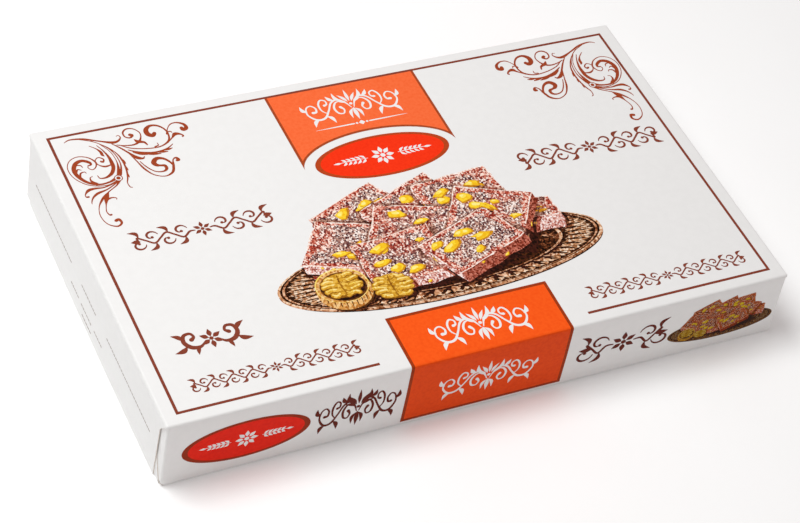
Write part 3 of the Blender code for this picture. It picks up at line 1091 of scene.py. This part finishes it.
def picture(art):
    """The tray, the pile of sweets and the walnuts."""
    chance = random.Random(PILE_SEED)
    noise.seed_set(PILE_SEED)  # without it the outlines' noise would start from the clock
    deep = TRAY * math.sin(DROP)
    disc(art, INK["tray_black"], (.4, -1.6), (TRAY * .99, deep * .99), sides=144)
    disc(art, INK["tray_copper"], (0, -.9), (TRAY, deep), sides=144)
    stamp(art, FLATTEN, tray_top)
    disc(art, SHADE, (-1, -4.5), (48, 10.5), sides=64)
    disc(art, SHADE, (-2, -3.5), (41, 9), sides=64)
    for height, pitch, row in ROWS:
        for x in row:
            x += chance.uniform(-1.5, 1.5)
            z = (height + chance.uniform(-1, 1)) / math.cos(DROP)
            lean = pitch + chance.uniform(-.12, .12)
            turn = chance.uniform(-.5, .5)
            sweet(art, chance, (x, 0, z), lean, turn, chance.random() < RED_SHARE)
    shell_half(art, chance, *SHELL)
    kernel(art, chance, *KERNEL)


art = bmesh.new()
picture(art)
plates = separate(art, len(NAMES), DEEPER)
large_inks = picture_inks("large", 1.0, {}, (1.0, 1.0))
# the small inks are darkened copies of the large ones: painted shade
small_inks = picture_inks("small", SMALL_SCALE, SMALL_SHADED_TONES, SMALL_SHADED_TONE)
press("picture_top", plates, large_inks, TOP_PLACE @ at(*PICTURE_PLACE))
small_place = on_front(*SMALL_PICTURE) @ Matrix.Diagonal((SMALL_SCALE, SMALL_SCALE, 1, 1))
press("picture_front", plates, small_inks, small_place)
press("picture_back", plates, small_inks, TURN @ small_place)

# The brown ornaments. Four running vines and a bold fleuron in the frame's brown stand on the top
# panel, between the flourishes, the picture and the frame.
VINES = (  # middle, half length, height, waves, pen
    ((45.0, 84.5), 27.5, 10.0, 4, .85),
    ((207.5, 84.5), 31.5, 10.0, 5, .85),
    ((46.0, 14.5), 32.0, 6.4, 8, .6),
    ((204.0, 13.5), 34.0, 6.4, 8, .6),
)
FLEURON_PLACE = (29.0, 33.5)


def half_vine(art, ink, reach, height, waves, pen):
    """The right half of a running vine: in each bend of its stem a curl, and a leaf outside it."""
    root = height * .5
    step = (reach - root) / waves
    stem = [(height * .3, 0, pen * .6), (root, 0, pen)]
    for k in range(waves):
        side = 1 if k % 2 else -1
        stem.append((root + step * (k + .5), side * height * .2, pen))
        stem.append((root + step * (k + 1), 0, pen * .9))
        hub = (root + step * (k + .56), -side * height * .16)
        start = RIGHT_ANGLE * (1.9 if side < 0 else 2.1)
        stroke(art, ink, spiral(hub, height * .27, start, side * 4.9, pen * 1.1))
        leaf(art, ink, (root + step * (k + .4), side * height * .2),
             (root + step * (k + .98), side * height * .52), pen * 1.9, side * .28)
    stem[-1] = (reach - height * .3, 0, pen * .8)
    stroke(art, ink, stem)
    leaf(art, ink, (reach - height * .34, 0), (reach, height * .04), pen * 2.4)


def vine(art, ink, reach, height, waves, pen):
    """A running vine on both sides of a small flower."""
    petal_ring(art, ink, 6, height * .09, height * .36, height * .15)
    disc(art, ink, (0, 0), (height * .07, height * .07), sides=14)
    both_sides(art, half_vine, ink, reach, height, waves, pen)


def fleuron_arm(art, ink):
    """Half of a bold fleuron: one thick scroll with a leaf above and below its bend."""
    stroke(art, ink, [(2.6, -.8, .5), (4.8, -2.6, 1.3), (8.0, -2.2, 1.8), (10.0, .6, 1.7),
                      (9.2, 3.6, 1.4), (6.8, 4.1, 1.2), (5.8, 2.4, 1.1), (7.0, 1.2, 1.7)])
    leaf(art, ink, (9.6, -1.4), (14.6, -3.4), 2.1, -.16)
    leaf(art, ink, (10.2, 1.4), (13.6, 4.8), 1.9, .16)
    leaf(art, ink, (5.0, -2.8), (6.6, -6.0), 1.5, .14)


def fleuron(art, ink):
    """A bold ornament with a flower in its middle."""
    petal_ring(art, ink, 6, 1.0, 4.4, 1.9)
    disc(art, ink, (0, 0), (.8, .8), sides=16)
    both_sides(art, fleuron_arm, ink)


art = bmesh.new()
stamp(art, at(*FLEURON_PLACE), fleuron, DRAWN)
for place, reach, height, waves, pen in VINES:
    stamp(art, at(*place), vine, DRAWN, reach, height, waves, pen)
print_once("top_vines", art, [("ink", brown_ink)], TOP_PLACE)

# The side panels. The front carries a smaller badge and two maroon ornaments beside the orange
# field. The back is printed like the front, turned round, with the field as a block of its own.
SIDE_BADGE_PLACE, SIDE_BADGE_RADII = (31.0, 15.2), (24.0, 10.0)
SIDE_CREST_PLACE, SIDE_CREST = (73.0, 16.2), (15.0, 21.0, .95)  # half length, height, pen
SIDE_VINE_PLACE, SIDE_VINE = (181.0, 16.5), (19.0, 15.0, 2, 1.0)  # half length, height, waves, pen

maroon_ink = offset_ink("maroon_offset_ink", "#6A2619", "#602115")
# the side badge's rim and red are darker copies of the top badge's inks: painted shade
shade_darkened_badge_inks = [
    ("rim", offset_ink("rim_ink_darkened_as_shade", "#9C3414", "#922E11")),
    ("field", offset_ink("side_red_ink", "#F02610", "#E8200D")),
    BARE,
]

art = bmesh.new()
badge(art, SIDE_BADGE_RADII)
badge_plates = separate(art, len(shade_darkened_badge_inks))
art = bmesh.new()
stamp(art, on_front(*SIDE_CREST_PLACE), crest, DRAWN, *SIDE_CREST)
stamp(art, on_front(*SIDE_VINE_PLACE), vine, DRAWN, *SIDE_VINE)
vine_plates = separate(art, 1)
for panel, turned in (("front", Matrix.Identity(4)), ("back", TURN)):
    press("badge_" + panel, badge_plates, shade_darkened_badge_inks, turned @ on_front(*SIDE_BADGE_PLACE))
    press(panel + "_vines", vine_plates, [("ink", maroon_ink)], turned)

art = bmesh.new()
orange_block(art, on_front(0, HEIGHT - FIELD_FOOT).translation.y, front_foot)
stamp(art, on_front(*FRONT_CREST_PLACE), crest, WHITE, *FIELD_CREST)
print_once("field_back", art, field_inks, TURN)

# The ends and the base. The outer flaps carry rows of fine grey dashes where a carton has its small
# print, and the base repeats the plain brown frame.
DASH_HEIGHT = 0.55
DASH_PITCH, DASH_SHARE = 1.9, 0.8
DASH_ROWS = (  # from and to, seen from outside from the end's left edge, and height off the ground
    (11.6, 54.0, 15.6),
    (65.1, 81.2, 15.5),
    (92.6, 137.8, 15.7),
    (55.2, 64.2, 7.2),
    (66.5, 78.2, 7.0),
    (80.9, 89.5, 7.2),
    (68.4, 78.8, 3.2),
)

dash_ink = offset_ink("grey_offset_ink", "#A89A96", "#9E908C")


def dashed(art, ink, left, right):
    """A row of dashes."""
    count = round((right - left) / DASH_PITCH)
    step = (right - left) / count
    for k in range(count):
        start = left + k * step
        bar(art, ink, start, -DASH_HEIGHT / 2, start + step * DASH_SHARE, DASH_HEIGHT / 2)


def on_end(side, height):
    """The place on the blank of the outer flap's print, from its left edge and the ground."""
    foot = side * (TOP_START + ARC + HEIGHT - FOLD - height)
    return at(foot, side * FRONT) @ Matrix.Rotation(side * RIGHT_ANGLE, 4, "Z")


for side, end in ((-1, "left"), (1, "right")):
    art = bmesh.new()
    for left, right, height in DASH_ROWS:
        stamp(art, on_end(side, height), dashed, DRAWN, left, right)
    print_once("end_dashes_" + end, art, [("ink", dash_ink)], Matrix.Identity(4))

art = bmesh.new()
rule_frame(art, (LENGTH / 2, LENGTH / 2))
print_once("base_frame", art, [("rule", brown_ink)], at(LEFT, -BASE_EDGE + FOLD - WIDTH))

# The floor. A wide sheet of white studio acrylic lies under the carton, matt on top and faintly
# lit from below.
FLOOR_HALF = 3.0  # metres from its middle to its edges
floor_mesh = bmesh.new()
bmesh.ops.create_grid(floor_mesh, x_segments=8, y_segments=8, size=FLOOR_HALF)
mesh = bpy.data.meshes.new("studio_floor")
floor_mesh.to_mesh(mesh)
floor_mesh.free()
floor = bpy.data.objects.new("studio_floor", mesh)
bpy.context.scene.collection.objects.link(floor)
acrylic, tree, shader, place = start_material(
    "studio_acrylic", Roughness=0.9, Emission_Strength=0.08)
tree.links.new(vary(tree, place, 60.0, ("#FAFAFA", "#FBFBFB")), shader.inputs["Base Color"])
mesh.materials.append(acrylic)

# The light. One soft box, a little cool, hangs above the carton's left part, in a warm surround
# that is even but for a darker wall on the left.
KEY_PLACE = Vector((-0.35, 0.15, 0.9))
key = bpy.data.lights.new("key_softbox", "AREA")
key.shape = "SQUARE"
key.size = 0.5
key.energy = 7.15
key.color = (0.965, 1.0, 1.0)
key_box = bpy.data.objects.new("key_softbox", key)
aim = (-KEY_PLACE).to_track_quat("-Z", "Y").to_matrix().to_4x4()
key_box.matrix_world = Matrix.Translation(KEY_PLACE) @ aim
bpy.context.scene.collection.objects.link(key_box)

SURROUND, LEFT_WALL = 0.431, 0.215
world = bpy.data.worlds.new("studio")
world.use_nodes = True
surround = world.node_tree.nodes["Background"]
surround.inputs["Color"].default_value = (1.0, 0.915, 0.9, 1.0)
heading = add_node(world.node_tree, "ShaderNodeTexCoord").outputs["Generated"]
across = add_node(world.node_tree, "ShaderNodeSeparateXYZ", {"Vector": heading}).outputs["X"]
strength = add_node(world.node_tree, "ShaderNodeMapRange", {
    "Value": across, "From Min": -1.0, "From Max": 0.0, "To Min": LEFT_WALL, "To Max": SURROUND})
world.node_tree.links.new(strength.outputs["Result"], surround.inputs["Strength"])
bpy.context.scene.world = world
bpy.context.scene.view_settings.view_transform = "Standard"

# The camera. It stands before the front left corner and looks down on the carton through a long
# lens, a little rolled.
CAMERA_PLACE = Vector((-331.1, -518.0, 621.9)) * MM
CAMERA_HEADING, CAMERA_DROP, CAMERA_ROLL = (math.radians(a) for a in (-32.65, 45.29, 11.76))
lens = bpy.data.cameras.new("camera")
lens.sensor_width = 36.0
lens.lens = 101.7
lens.clip_start = 0.05
camera = bpy.data.objects.new("camera", lens)
camera.matrix_world = (Matrix.Translation(CAMERA_PLACE) @ Matrix.Rotation(CAMERA_HEADING, 4, "Z")
                       @ Matrix.Rotation(RIGHT_ANGLE - CAMERA_DROP, 4, "X")
                       @ Matrix.Rotation(CAMERA_ROLL, 4, "Z"))
bpy.context.scene.collection.objects.link(camera)
bpy.context.scene.camera = camera
